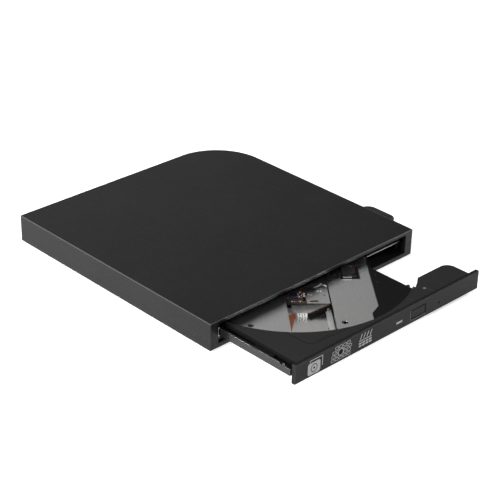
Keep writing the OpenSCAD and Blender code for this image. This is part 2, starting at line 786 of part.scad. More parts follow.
module tray_ribbon() {
    color([0.72, 0.42, 0.18]) place()
        block([44, -6, floor_z - sheet - 0.12], [62, tray_y1 - 6, floor_z - sheet]);
}

module pickup_ribbon() {
    color([0.85, 0.42, 0.15]) place() at_hub() translate([0, 0, floor_z]) linear_extrude(0.15)
        polygon([[8.8, 31], [-0.4, 32.5], [3.4, 49.2], [8.8, 49.2]]);
}

module ribbon_connectors() {
    color([0.93, 0.93, 0.9]) place() at_hub() for (u = [-1.4, -3.9]) {
        block([u - 0.85, 35.8, floor_z], [u + 0.85, 38.4, 5.2]);
    }
}

module ribbon_socket() {
    color([0.1, 0.1, 0.1]) place() at_hub() translate([-6.7, 37.6, floor_z]) rotate(180 + 35.7)
        cube([13.4, 2.2, 1.5]);
}

module eject_switch() {
    color([0.2, 0.2, 0.2]) place() union() {
        block([84, bezel_y0 + 8.6, 4.6], [94.5, bezel_y0 + 9.4, 8]);
        block([86.8, bezel_y0 + 6.4, 5.2], [91.7, bezel_y0 + 8.6, 8]);
        block([88.4, bezel_y0 + 5.6, 6.2], [90.1, bezel_y0 + 6.4, 7.6]);
    }
}

module solenoid() {
    color([0.62, 0.3, 0.15]) place() translate([89.5, plunger_y, 5.9]) rotate([0, 90, 0])
        difference() {
            cylinder(r = 1.7, h = 8);
            translate([0, 0, 1]) cylinder(r = 0.8 + run_gap, h = 8);
        }
}

module dampers() {
    color([0.1, 0.1, 0.1]) place() at_hub() for (p = damper_points) {
        translate([p[0], p[1], floor_z]) cylinder(r = 1.4, h = 0.2);
        translate([p[0], p[1], 4.7]) cylinder(r = 1.4, h = 0.4);
    }
}

module tray_screws() {
    color([0.6, 0.6, 0.6]) place() for (p = tray_screw_points) {
        translate([p[0], p[1], 3.1]) cylinder(r = 1.4, h = floor_z - sheet - 3.1);
        translate([p[0], p[1], 3.1]) cylinder(r = 0.8, h = 4.5);
    }
}

module wing_rivet() {
    color([0.75, 0.75, 0.75]) place() translate([103.5, bezel_y0 + 8.6, tray_z1 - 1])
        cylinder(r = 0.75, h = 0.95);
}

module eject_button() {
    w = button_w - 2 * button_gap;
    h = button_h - 2 * button_gap;
    color([0.15, 0.15, 0.16]) place() translate([button_x, bezel_y0, button_z]) union() {
        translate([-w / 2, 0.1, -h / 2]) cube([w, bezel_t + 0.5, h]);
        translate([-w / 2 - 1, bezel_t + 0.05, -h / 2]) cube([w + 2, 0.8, h]);
        translate([-1.2, bezel_t + 0.5, -1]) cube([2.4, 2.4, 2]);
    }
}

module turntable() {
    color([0.12, 0.12, 0.12]) place() translate([disc_x, disc_y, 0]) difference() {
        union() {
            translate([0, 0, 4.1]) cylinder(r = shaft_r, h = 4);
            translate([0, 0, 7.3]) cylinder(r = 12, h = 1.7);
            translate([0, 0, 9]) cylinder(r = 14, h = seat_z - 9);
            translate([0, 0, seat_z]) cylinder(r = hub_r, h = 1.5);
            translate([0, 0, seat_z + 1.5]) cylinder(r1 = hub_r, r2 = hub_r - 1, h = 0.4);
        }
        for (a = [90, 210, 330]) {
            rotate(a) translate([3.6, 0, claw_z]) rotate([0, 90, 0])
                cylinder(r = claw_r + run_gap, h = 5);
        }
    }
}

// A spring-loaded pin in the hub that grips the edge of a disc's hole
module chuck_claw(angle) {
    color([0.85, 0.85, 0.82]) place() translate([disc_x, disc_y, claw_z]) rotate(angle)
        translate([4.4, 0, 0]) rotate([0, 90, 0]) cylinder(r = claw_r, h = hub_r + claw_out - 4.4);
}

module chuck_claw_1() {
    chuck_claw(90);
}

module chuck_claw_2() {
    chuck_claw(210);
}

module chuck_claw_3() {
    chuck_claw(330);
}

module pickup_sled() {
    z0 = 5.3;
    z1 = 8.2;
    lip_z0 = 7.2;
    lip_v0 = 28;
    pocket_z = 6;
    color([0.16, 0.16, 0.17]) place() at_hub() difference() {
        union() {
            translate([0, 0, z0]) linear_extrude(z1 - z0)
                polygon([[8.8, 14.5], [8.8, 31], [-5, 31], [-6.6, 24], [-18, 24], [-18, 16], [-12, 14.5]]);
            for (v = [14.5, 24]) {
                block([8.8 - tiny, v, 4.75], [14.2, v + 4, z1]);
            }
            block([-24, 17, 4.8], [-18 + tiny, 23, z1]);
            block([-27.2, 18.5, 5.8], [-24 + tiny, 21.5, 7]);
        }
        block([-5, 18, pocket_z], [5, 29.5, z1 + 1]);
        block([-6, lip_v0, z0 - 1], [8.8 - run_gap, 32, lip_z0]);
        translate([rod_a[0], 0, rod_z]) rotate([-90, 0, 0]) cylinder(r = rod_a[1] + run_gap, h = 60);
        translate([rod_b[0], 0, rod_z]) rotate([-90, 0, 0]) cylinder(r = rod_b[1] + run_gap, h = 60);
    }
}

module pickup_board() {
    color([0.08, 0.2, 0.12]) place() at_hub() union() {
        translate([0, 0, 8.2]) linear_extrude(0.25)
            polygon([[-5.3, 17], [-5.3, 32], [-16.4, 32], [-16.4, 17]]);
        block([-8.4, 22, 8.45], [-6.4, 24.4, 8.85]);
        block([-14, 18.4, 8.45], [-11, 21, 8.85]);
    }
}

module lens_holder() {
    color([0.1, 0.1, 0.1]) place() at_hub() difference() {
        block([-4, lens_home - 4.5, 6.5], [4, lens_home + 4.5, 8.35]);
        translate([0, lens_home, 0]) cylinder(r = 1.6, h = 12);
    }
}

module objective_lens() {
    color([0.55, 0.7, 0.95]) place() at_hub() translate([0, lens_home, 8.35]) intersection() {
        translate([0, 0, -4.2]) sphere(r = 4.8);
        cylinder(r = 2.2, h = 2);
    }
}

module lead_screw() {
    color([0.8, 0.8, 0.8]) place() at_hub() {
        translate([screw_u, 4, rod_z]) rotate([-90, 0, 0]) cylinder(r = 0.7, h = 48.4);
        translate([screw_u, 8.2, rod_z]) rotate([-90, 0, 0]) cylinder(r = 1.2, h = 41.6);
    }
}

module latch_lever() {
    color([0.88, 0.88, 0.85]) place() translate([latch_x, latch_y, 4.6]) difference() {
        union() {
            cylinder(r = 1.5, h = 2.4);
            block([-1.5, 0, 0], [-0.3, 4.4, 2.4]);
            block([-1.9, 3.6, 0], [-0.5, 12.2, 2.4]);
            block([-1.9, 10.9, 0], [0.95, 12.2, 2.4]);
            block([-2.6, 5.6, 0.8], [-1.5, 7, 2]);
        }
        translate([0, 0, -1]) cylinder(r = 0.6, h = 5);
    }
}

module solenoid_plunger() {
    color([0.75, 0.75, 0.76]) place() translate([91.5, plunger_y, 5.9]) rotate([0, 90, 0])
        cylinder(r = 0.8, h = 9.4);
}

top_shell();
bottom_shell();
rubber_feet();
case_screws();
bridge_board();
bridge_chips();
sata_socket();
cable_clamp();
usb_cable();
usb_plug_grip();
usb_plug_shell();
usb_plug_tongue();
drive_bottom_cover();
drive_top_cover();
left_guide_rail();
right_guide_rail();
latch_post();
rear_board();
drive_sata_plug();
fixed_ribbon();
left_slide_rail();
right_slide_rail();
tray();
bezel();
light_pipe();
tray_bottom_plate();
left_shield();
middle_shield();
traverse_frame();
guide_rods();
feed_motor();
spindle_motor();
tray_board();
tray_chips();
tray_ribbon();
pickup_ribbon();
ribbon_connectors();
ribbon_socket();
eject_switch();
solenoid();
dampers();
tray_screws();
wing_rivet();
eject_button();
turntable();
chuck_claw_1();
chuck_claw_2();
chuck_claw_3();
pickup_sled();
pickup_board();
lens_holder();
objective_lens();
lead_screw();
latch_lever();
solenoid_plunger();
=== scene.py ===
import math

import bmesh
import bpy
from mathutils import Matrix, Vector


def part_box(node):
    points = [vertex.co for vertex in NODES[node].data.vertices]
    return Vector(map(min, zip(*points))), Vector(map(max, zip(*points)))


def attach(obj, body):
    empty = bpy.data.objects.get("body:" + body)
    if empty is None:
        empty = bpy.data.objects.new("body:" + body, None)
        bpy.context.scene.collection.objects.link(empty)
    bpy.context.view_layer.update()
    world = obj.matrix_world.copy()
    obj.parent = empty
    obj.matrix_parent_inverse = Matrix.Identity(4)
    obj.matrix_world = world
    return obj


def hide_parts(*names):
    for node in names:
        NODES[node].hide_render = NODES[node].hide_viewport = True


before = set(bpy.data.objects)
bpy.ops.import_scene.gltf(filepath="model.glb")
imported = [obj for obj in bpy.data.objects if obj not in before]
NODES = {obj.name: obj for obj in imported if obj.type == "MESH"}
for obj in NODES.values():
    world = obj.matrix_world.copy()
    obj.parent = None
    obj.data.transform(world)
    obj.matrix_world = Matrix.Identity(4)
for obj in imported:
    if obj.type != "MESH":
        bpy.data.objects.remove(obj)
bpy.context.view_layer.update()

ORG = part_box("top_shell")[0]          # the case's own front left bottom corner
MM = 0.001


def P(x, y, z):
    """Case millimetres to the row frame."""
    return ORG + Vector((x, y, z)) * MM


HUB_X, HUB_Y = 70, 18.8               # the middle of the disc, in case millimetres
TURN = math.radians(140)              # how far the tray's mechanism is turned about it


def H(u, v, z):
    """Millimetres in the tray's mechanism, with the pickup moving along +v, to the row frame."""
    x = HUB_X + u * math.cos(TURN) - v * math.sin(TURN)
    y = HUB_Y + u * math.sin(TURN) + v * math.cos(TURN)
    return P(x, y, z)


# ---------------------------------------------------------------- camera, floor, light
# the camera stands where a fit to the photo's straight edges puts it
cam = bpy.data.objects.new("camera", bpy.data.cameras.new("camera"))
bpy.context.scene.collection.objects.link(cam)
cam.data.lens, cam.data.sensor_width = 107.93, 36
cam.data.clip_start, cam.data.clip_end = 0.01, 20
cam.matrix_world = Matrix.Translation(ORG + Vector((-0.39603, -0.42118, 0.36759))) @ Matrix((
    (0.71814, 0.3161, -0.61997), (-0.69541, 0.3594, -0.62228), (0.02614, 0.8780, 0.47793))).to_4x4()
bpy.context.scene.camera = cam
bpy.context.scene.view_settings.view_transform = "Standard"


def lamp(name, place, aim, size, watts, colour=(1, 1, 1)):
    data = bpy.data.lights.new(name, "AREA")
    data.shape, data.size, data.size_y = "RECTANGLE", size[0], size[1]
    data.energy, data.color = watts, colour
    o = bpy.data.objects.new(name, data)
    o.location = place
    o.rotation_euler = (Vector(aim) - Vector(place)).to_track_quat("-Z", "Y").to_euler()
    bpy.context.scene.collection.objects.link(o)


lamp("softbox_left", (-1.5, 0.1, 0.42), (0, 0, 0), (0.9, 0.5), 26)
lamp("edge_front", (1.0, -0.77, 1.0), (0, 0, 0), (0.3, 0.3), 9)
lamp("edge_left", (-0.77, 1.0, 1.0), (0, 0, 0), (0.3, 0.3), 9)
lamp("panel_back", (1.05, 0.86, 0.88), (0, 0, 0), (0.8, 0.5), 0.15)
lamp("fill_front", (-0.95, -0.85, 1.1), (0, 0, 0), (0.5, 0.5), 6)

world = bpy.data.worlds.new("studio")
bpy.context.scene.world = world
world.use_nodes = True
wn, wl = world.node_tree.nodes, world.node_tree.links
direction = wn.new("ShaderNodeTexCoord")
lean = wn.new("ShaderNodeVectorMath")
lean.operation = "DOT_PRODUCT"
# brighter to the back left, darker to the front right
lean.inputs[1].default_value = (-0.707, 0.707, 0)
wl.new(direction.outputs["Generated"], lean.inputs[0])
ramp = wn.new("ShaderNodeMapRange")
ramp.inputs["From Min"].default_value, ramp.inputs["From Max"].default_value = -0.3, 0.3
ramp.inputs["To Min"].default_value, ramp.inputs["To Max"].default_value = -0.06, 0.7
wl.new(lean.outputs["Value"], ramp.inputs["Value"])
wl.new(ramp.outputs["Result"], wn["Background"].inputs["Strength"])
wn["Background"].inputs["Color"].default_value = (1, 1, 1, 1)


# ---------------------------------------------------------------- materials
BLOTCH = 28                           # the size of the broad unevenness in every finish, in millimetres
FLECK = 0.70                          # the flecks are where a noise is above this
STRIPE = -0.35                        # how much darker the stripes are


class Graph:
    """A material's nodes, with short ways to add the kinds used here."""

    def __init__(self, material):
        self.nodes, self.links = material.node_tree.nodes, material.node_tree.links
        self.where = self.nodes.new("ShaderNodeTexCoord").outputs["Object"]

    def math(self, operation, first, second, clamp=False):
        node = self.nodes.new("ShaderNodeMath")
        node.operation, node.use_clamp = operation, clamp
        for socket, value in zip(node.inputs, (first, second)):
            if isinstance(value, (int, float)):
                socket.default_value = value
            else:
                self.links.new(value, socket)
        return node.outputs[0]

    def noise(self, size_mm, detail, vector):
        node = self.nodes.new("ShaderNodeTexNoise")
        node.inputs["Scale"].default_value = 1000 / size_mm
        node.inputs["Detail"].default_value = detail
        node.inputs["Roughness"].default_value = 0.6
        self.links.new(vector, node.inputs["Vector"])
        return node.outputs["Fac"]

    def drawn_out(self, angle):
        """Where a point is, squeezed along angle, so that a texture is drawn out that way."""
        turn = self.nodes.new("ShaderNodeMapping")
        turn.inputs["Rotation"].default_value = (0, 0, -angle)
        self.links.new(self.where, turn.inputs["Vector"])
        squeeze = self.nodes.new("ShaderNodeMapping")
        squeeze.inputs["Scale"].default_value = (0.03, 1, 1)
        self.links.new(turn.outputs[0], squeeze.inputs["Vector"])
        return squeeze.outputs[0]

    def stripes(self, pitch_mm):
        wave = self.nodes.new("ShaderNodeTexWave")
        wave.inputs["Scale"].default_value = 1000 / pitch_mm / (2 * math.pi)
        wave.inputs["Distortion"].default_value = 0.3
        self.links.new(self.where, wave.inputs["Vector"])
        return wave.outputs["Fac"]

    def scaled(self, colour, shade):
        node = self.nodes.new("ShaderNodeVectorMath")
        node.operation = "SCALE"
        node.inputs[0].default_value = colour
        self.links.new(shade, node.inputs["Scale"])
        return node.outputs[0]

    def worn_and_highlit(self, tint, colour, wear_and_highlight):
        """tint, made lighter on the edges: partly worn lighter, partly a painted edge highlight."""
        soft = self.nodes.new("ShaderNodeBevel")
        soft.samples = 4
        soft.inputs["Radius"].default_value = 0.35 * MM
        dot = self.nodes.new("ShaderNodeVectorMath")
        dot.operation = "DOT_PRODUCT"
        self.links.new(soft.outputs[0], dot.inputs[0])
        self.links.new(self.nodes.new("ShaderNodeNewGeometry").outputs["Normal"], dot.inputs[1])
        edge = self.math("MULTIPLY", self.math("SUBTRACT", 0.995, dot.outputs["Value"]), 9, True)
        worn = self.math("MULTIPLY", self.noise(3, 4, self.where), 2 * wear_and_highlight)
        edge = self.math("MULTIPLY", edge, worn, True)
        mix = self.nodes.new("ShaderNodeMix")
        mix.data_type = "RGBA"
        self.links.new(edge, mix.inputs["Factor"])
        self.links.new(tint, mix.inputs["A"])
        mix.inputs["B"].default_value = (*(min(1, c * 2.6 + 0.02) for c in colour), 1)
        return mix.outputs["Result"]


def mat(name, colour, rough=0.5, metal=0.0, spec=0.5, grain=0.3, bump=0.15, var=0.12, wear_and_highlight=0.0,
        brush=None, specks=0.0, coat=0.0, vary_rough=0.08, bands=None):
    """A procedural finish. grain is the size of its texture in millimetres, brush the direction it is drawn
    out along, var how much its shade varies, specks how much lighter its flecks are, bands the pitch of its
    stripes in millimetres, wear_and_highlight how far its edges are made lighter, partly worn lighter and
    partly a painted edge highlight."""
    m = bpy.data.materials.new(name)
    m.use_nodes = True
    g = Graph(m)
    shader = g.nodes["Principled BSDF"]
    shader.inputs["Metallic"].default_value = metal
    shader.inputs["Specular IOR Level"].default_value = spec
    shader.inputs["Coat Weight"].default_value = coat
    shader.inputs["Coat Roughness"].default_value = 0.12

    fine = g.noise(grain, 3, g.where if brush is None else g.drawn_out(brush))
    broad = g.noise(BLOTCH, 3, g.where)
    shade = g.math("ADD", g.math("MULTIPLY", g.math("SUBTRACT", fine, 0.5), 1.6 * var),
                   g.math("MULTIPLY", g.math("SUBTRACT", broad, 0.5), 1.2 * var))
    shade = g.math("ADD", shade, 1.0)
    if specks:
        spot = g.math("GREATER_THAN", g.noise(grain * 0.8, 1, g.where), FLECK)
        shade = g.math("ADD", shade, g.math("MULTIPLY", spot, specks))
    if bands is not None:
        shade = g.math("ADD", shade, g.math("MULTIPLY", g.stripes(bands), STRIPE))
    tint = g.scaled(colour, shade)
    if wear_and_highlight:
        tint = g.worn_and_highlit(tint, colour, wear_and_highlight)
    g.links.new(tint, shader.inputs["Base Color"])

    r = g.math("ADD", rough - vary_rough / 2, g.math("MULTIPLY", broad, vary_rough * 0.5))
    r = g.math("ADD", r, g.math("MULTIPLY", fine, vary_rough * 0.5), True)
    g.links.new(r, shader.inputs["Roughness"])
    relief = g.nodes.new("ShaderNodeBump")
    relief.inputs["Strength"].default_value = bump
    relief.inputs["Distance"].default_value = grain * 0.25 * MM
    g.links.new(fine, relief.inputs["Height"])
    g.links.new(relief.outputs[0], shader.inputs["Normal"])
    return m


ALONG = TURN + math.pi / 2          # the pickup's way, which the shields are brushed along
CASE = mat("case_plastic", (0.0068, 0.0068, 0.007), 0.38, spec=0.2, grain=0.8, bump=0.35, var=0.9,
           specks=3.0)
# a lighter finish for the case's top edge, a painted highlight
CASE_EDGE_HIGHLIGHT = mat("case_edge_highlight", (0.05, 0.05, 0.051), 0.33, spec=0.5, grain=0.8, bump=0.5, var=0.4)
TRAY = mat("tray_plastic", (0.014, 0.014, 0.0145), 0.5, spec=0.22, grain=0.5, bump=0.6, var=0.5, wear_and_highlight=0.6,
           specks=0.4)
# a darker copy of the tray's plastic for the disc recess, painted shade
TRAY_RECESS_SHADE = mat("tray_recess_shade", (0.005, 0.005, 0.0052), 0.42, spec=0.07, grain=0.5, bump=0.5,
                 var=0.5, wear_and_highlight=0.3)
BEZEL = mat("bezel_plastic", (0.006, 0.006, 0.0062), 0.42, spec=0.13, grain=0.45, bump=0.6, var=0.6,
            specks=0.8)
# a lighter copy of the bezel's plastic for its rounded edges, a painted highlight
BEZEL_EDGE_HIGHLIGHT = mat("bezel_edge_highlight", (0.07, 0.07, 0.071), 0.33, spec=0.5, grain=0.5, bump=0.3, var=0.3)
RUBBER = mat("rubber", (0.02, 0.02, 0.02), 0.85, spec=0.2, grain=0.5, bump=0.5, var=0.3)
PVC = mat("cable_pvc", (0.017, 0.017, 0.018), 0.6, spec=0.35, grain=0.6, bump=0.2, var=0.2)
GRIP = mat("grip_plastic", (0.022, 0.022, 0.0225), 0.5, spec=0.25, grain=0.3, bump=0.5, var=0.2, wear_and_highlight=0.4)
NICKEL = mat("nickel", (0.62, 0.61, 0.58), 0.22, metal=1, grain=0.5, bump=0.08, var=0.08, brush=0.0)
BLACKP = mat("black_plastic", (0.02, 0.02, 0.021), 0.45, spec=0.4, grain=0.4, bump=0.2, var=0.2, wear_and_highlight=0.3)
SHEET = mat("zinc_sheet", (0.42, 0.42, 0.42), 0.42, metal=1, grain=2.2, bump=0.1, var=0.25, wear_and_highlight=0.3)
RAIL = mat("rail_steel", (0.055, 0.055, 0.055), 0.27, metal=0.9, grain=0.5, bump=0.12, var=0.18,
           brush=math.pi / 2)
# a lighter copy of the rail's steel for its rounded edges, a painted highlight
RAIL_EDGE_HIGHLIGHT = mat("rail_edge_highlight", (0.28, 0.28, 0.28), 0.3, metal=0.8, grain=0.5, bump=0.1, var=0.2)
SHIELD = mat("shield_steel", (0.7, 0.7, 0.695), 0.3, metal=1, grain=0.5, bump=0.25, var=0.16, brush=ALONG)
MOTTLE = mat("mottled_steel", (0.7, 0.7, 0.695), 0.24, metal=1, grain=0.9, bump=0.25, var=0.12)
MIRROR = mat("floor_steel", (0.78, 0.77, 0.75), 0.2, metal=1, grain=1.5, bump=0.04, var=0.12, brush=ALONG)
BRIGHT = mat("polished_steel", (0.66, 0.66, 0.65), 0.12, metal=1, grain=0.6, bump=0.03, var=0.06)
CASTING = mat("die_casting", (0.16, 0.16, 0.165), 0.5, metal=0.6, grain=0.5, bump=0.35, var=0.25, wear_and_highlight=0.3)
BOARD = mat("board_green", (0.012, 0.05, 0.022), 0.38, spec=0.5, grain=0.9, bump=0.25, var=0.35, coat=0.3)
CHIP = mat("chip_epoxy", (0.022, 0.022, 0.023), 0.5, spec=0.45, grain=0.12, bump=0.2, var=0.2)
WHITE = mat("nylon_white", (0.95, 0.94, 0.9), 0.4, spec=0.5, grain=0.4, bump=0.06, var=0.06)
FLEX = mat("flex_orange", (0.36, 0.105, 0.035), 0.32, spec=0.5, grain=0.6, bump=0.05, var=0.2, coat=0.4)
FFC = mat("ribbon_cable", (0.33, 0.34, 0.36), 0.4, spec=0.4, grain=0.6, bump=0.05, var=0.12, bands=0.5)
COPPER = mat("copper", (0.75, 0.34, 0.13), 0.32, metal=1, grain=0.25, bump=0.1, var=0.2, brush=0.4)
GOLD = mat("gold_contact", (0.9, 0.62, 0.2), 0.22, metal=1, grain=0.3, bump=0.05, var=0.08)
FOAM = mat("damper_rubber", (0.03, 0.03, 0.034), 0.8, spec=0.2, grain=0.4, bump=0.4, var=0.3)
PIPE = mat("light_pipe", (0.30, 0.31, 0.30), 0.25, spec=0.5, grain=0.4, bump=0.05, var=0.1)
POM = mat("lever_pom", (0.6, 0.6, 0.58), 0.42, spec=0.5, grain=0.3, bump=0.05, var=0.06)
LENS = mat("lens_glass", (0.008, 0.01, 0.022), 0.08, spec=0.4, grain=0.6, bump=0.0, var=0.1, coat=0.2)
RED = mat("red_paint", (0.42, 0.03, 0.02), 0.4, spec=0.5, grain=0.3, bump=0.1, var=0.2)
PRINT = mat("white_print", (0.32, 0.32, 0.32), 0.55, spec=0.2, grain=0.25, bump=0.1, var=0.2)
# a lighter grey painted as the highlight on the button groove's edges
GROOVE_HIGHLIGHT = mat("groove_painted_highlight", (0.2, 0.2, 0.203), 0.45, spec=0.4, grain=0.3, bump=0.1, var=0.2)
# a near-black finish for dark print and dark parts, and also laid as painted shade in grooves, gaps and a
# hole
INK_AND_SHADE = mat("dark_ink_and_painted_shade", (0.006, 0.006, 0.006), 0.8, spec=0.1, grain=0.3, bump=0.1, var=0.2)
# a darker copy of the tray's plastic for its left side, painted shade
TRAY_SIDE_SHADE = mat("tray_side_shade", (0.007, 0.007, 0.0075), 0.5, spec=0.12, grain=0.5, bump=0.5, var=0.5)
SATIN = mat("satin_steel", (0.78, 0.78, 0.77), 0.34, metal=0.7, spec=0.5, grain=0.6, bump=0.1, var=0.12,
            brush=ALONG)
# a near-white finish for small bright parts, also used for painted glints and highlights
GLINT = mat("bright_parts_and_painted_glint", (0.85, 0.84, 0.8), 0.3, metal=0.3, grain=0.3, bump=0.1, var=0.1)
RUST = mat("copper_dark", (0.28, 0.075, 0.03), 0.4, metal=0.6, grain=0.3, bump=0.1, var=0.25)
GREEN = mat("resist_green", (0.05, 0.16, 0.05), 0.4, grain=0.3, bump=0.1, var=0.25)
YELLOW = mat("tape_yellow", (0.6, 0.45, 0.06), 0.4, grain=0.3, bump=0.1, var=0.2)

# ---------------------------------------------------------------- the CAD nodes' finishes and rounded edges
DRESS = {
    "top_shell": (CASE, 0), "bottom_shell": (CASE, 0.3), "rubber_feet": (RUBBER, 0.25),
    "case_screws": (NICKEL, 0.1), "bridge_board": (BOARD, 0), "bridge_chips": (CHIP, 0.08),
    "sata_socket": (BLACKP, 0.12), "cable_clamp": (RUBBER, 0.2), "usb_cable": (PVC, 0),
    "usb_plug_grip": (GRIP, 0), "usb_plug_shell": (NICKEL, 0.12), "usb_plug_tongue": (WHITE, 0.08),
    "drive_bottom_cover": (SHEET, 0.08), "drive_top_cover": (SHEET, 0.08),
    "left_guide_rail": (BRIGHT, 0.08), "right_guide_rail": (RAIL, 0.08), "latch_post": (BRIGHT, 0.1),
    "rear_board": (BOARD, 0),
    "drive_sata_plug": (BLACKP, 0.12), "fixed_ribbon": (FFC, 0), "left_slide_rail": (RAIL, 0.08),
    "right_slide_rail": (RAIL, 0.08), "tray": (TRAY, 0.2), "bezel": (BEZEL, 0.3),
    "light_pipe": (PIPE, 0.05),
    "tray_bottom_plate": (MIRROR, 0.06), "left_shield": (SHIELD, 0.08), "middle_shield": (MOTTLE, 0.08),
    "traverse_frame": (CASTING, 0.12), "guide_rods": (BRIGHT, 0), "feed_motor": (BLACKP, 0.12),
    "spindle_motor": (NICKEL, 0.1), "tray_board": (BOARD, 0), "tray_chips": (CHIP, 0.06),
    "tray_ribbon": (FFC, 0), "pickup_ribbon": (FLEX, 0), "ribbon_connectors": (WHITE, 0.08),
    "ribbon_socket": (INK_AND_SHADE, 0.06), "eject_switch": (BLACKP, 0.06), "solenoid": (COPPER, 0.1),
    "dampers": (FOAM, 0.12), "tray_screws": (NICKEL, 0.06), "wing_rivet": (BRIGHT, 0.08),
    "eject_button": (BEZEL, 0.2), "turntable": (BLACKP, 0.15), "chuck_claw_1": (POM, 0.06),
    "chuck_claw_2": (POM, 0.06), "chuck_claw_3": (POM, 0.06), "pickup_sled": (BLACKP, 0.12),
    "pickup_board": (MOTTLE, 0.05), "lens_holder": (BLACKP, 0.08), "objective_lens": (LENS, 0),
    "lead_screw": (BRIGHT, 0), "latch_lever": (BLACKP, 0.08), "solenoid_plunger": (BRIGHT, 0.06),
}


def round_edges(o, width, angle=32):
    """Rounds a piece's sharp edges by width millimetres."""
    weld = o.modifiers.new("weld", "WELD")
    weld.merge_threshold = 2e-6
    flat = o.modifiers.new("flat", "DECIMATE")
    flat.decimate_type, flat.angle_limit = "DISSOLVE", math.radians(0.6)
    flat.delimit = {"MATERIAL"}
    if width:
        k = o.modifiers.new("round", "BEVEL")
        k.width, k.segments, k.limit_method = width * MM, 2, "ANGLE"
        k.angle_limit, k.use_clamp_overlap = math.radians(angle), True
    k = o.modifiers.new("normals", "WEIGHTED_NORMAL")
    k.keep_sharp = True


def sharp(mesh, angle=32):
    """Smooth shading on a mesh's curved faces, with its corners kept."""
    bm = bmesh.new()
    bm.from_mesh(mesh)
    limit = math.radians(angle)
    flags = [not (len(e.link_faces) == 2 and e.calc_face_angle(0) < limit) for e in bm.edges]
    bm.free()
    mesh.shade_smooth()
    for e, f in zip(mesh.edges, flags):
        e.use_edge_sharp = f


def dress(name, finish, width):
    """Gives a CAD node its finish and rounds its edges by width millimetres."""
    mesh = NODES[name].data
    mesh.materials.clear()
    mesh.materials.append(finish)
    if "custom_normal" in mesh.attributes:
        mesh.attributes.remove(mesh.attributes["custom_normal"])
    round_edges(NODES[name], width)


def second_finish(name, finish, test):
    """Gives some faces of a CAD node a finish of their own: those whose normal and middle, in case
    millimetres, pass the test."""
    mesh = NODES[name].data
    mesh.materials.append(finish)
    slot = len(mesh.materials) - 1
    for face in mesh.polygons:
        if test(face.normal, (face.center - ORG) / MM):
            face.material_index = slot


def edge_highlight_finish(name, finish):
    """Gives the rounded edges of a CAD node a lighter finish of their own, a painted highlight along those
    edges.
    """
    NODES[name].data.materials.append(finish)
    NODES[name].modifiers["round"].segments = 1
    NODES[name].modifiers["round"].material = 1


# heights in case millimetres
RECESS = 9.2                          # the disc recess
RIM_TOP = 10.6                        # the tray's rim
GROOVE = 10.35                        # the bottom of the moulding lines in it
WELL = 3.7                            # the bright floor of the tray's window
FLEX_TOP = 3.85                       # the orange strip on that floor
SOCKET_TOP = 5.2                      # the strip's socket and the white connectors
SLED_TOP = 8.2                        # the pickup's sled
PLATE_TOP = 8.45                      # the plate on the sled
MOTOR_TOP = 8.3                       # the feed motor's casting
CAP_TOP = 8.6                         # the dark bed that is added on it
TRAY_LEFT = 10.5                      # the tray's left side, in x
FRONT, BEZEL_BACK = -47.6, -45.55     # the bezel's face and its back, in y
CASE_W, CASE_D, CASE_H = 140, 143, 14.2
CORNER_R = 29.2                       # the case's round corner
SINK = 0.01                           # how far a small part is sunk into what it stands on
LEVEL = 0.9                           # a face points up, or to the front, when its normal does by this much
NEAR = 0.05                           # how near a height a face lies to count as at it

missing = set(NODES) - set(DRESS)
if missing:
    raise SystemExit(f"no finish for {sorted(missing)}")
for node_name, (node_finish, node_width) in DRESS.items():
    dress(node_name, node_finish, node_width)
# the recess floor gets the darker copy of the tray's plastic, painted shade
second_finish("tray", TRAY_RECESS_SHADE, lambda n, c: n.z > LEVEL and abs(c.z - RECESS) < NEAR)
# the tray's left side gets the darker copy of its plastic, painted shade
second_finish("tray", TRAY_SIDE_SHADE, lambda n, c: c.x < TRAY_LEFT + 0.1 and c.z > 6)
# the bottoms of the moulding lines get the near-black finish, painted shade in those grooves
second_finish("tray", INK_AND_SHADE, lambda n, c: n.z > LEVEL and abs(c.z - GROOVE) < NEAR)
# the guide rail's front faces get the near-white finish, a painted highlight
second_finish("left_guide_rail", GLINT, lambda n, c: n.y < -LEVEL)
# the bezel's and the left slide rail's rounded edges get lighter finishes, painted highlights
edge_highlight_finish("bezel", BEZEL_EDGE_HIGHLIGHT)
edge_highlight_finish("left_slide_rail", RAIL_EDGE_HIGHLIGHT)


# ---------------------------------------------------------------- helpers for the pieces made here
def piece(name, verts, faces, body, finishes, index=None, width=0.0):
    """One mesh with its finishes, riding on body. index is each face's finish, width its rounding."""
    mesh = bpy.data.meshes.new(name)
    mesh.from_pydata([tuple(v) for v in verts], [], faces)
    bm = bmesh.new()
    bm.from_mesh(mesh)
    bmesh.ops.recalc_face_normals(bm, faces=bm.faces)
    bm.to_mesh(mesh)
    bm.free()
    for f in finishes:
        mesh.materials.append(f)
    if index:
        for p, i in zip(mesh.polygons, index):
            p.material_index = i
    sharp(mesh)
    o = bpy.data.objects.new(name, mesh)
    bpy.context.scene.collection.objects.link(o)
    if width:
        k = o.modifiers.new("round", "BEVEL")
        k.width, k.segments, k.limit_method = width * MM, 2, "ANGLE"
    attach(o, body)
    return o


def as_is(x, y, z):
    return x, y, z


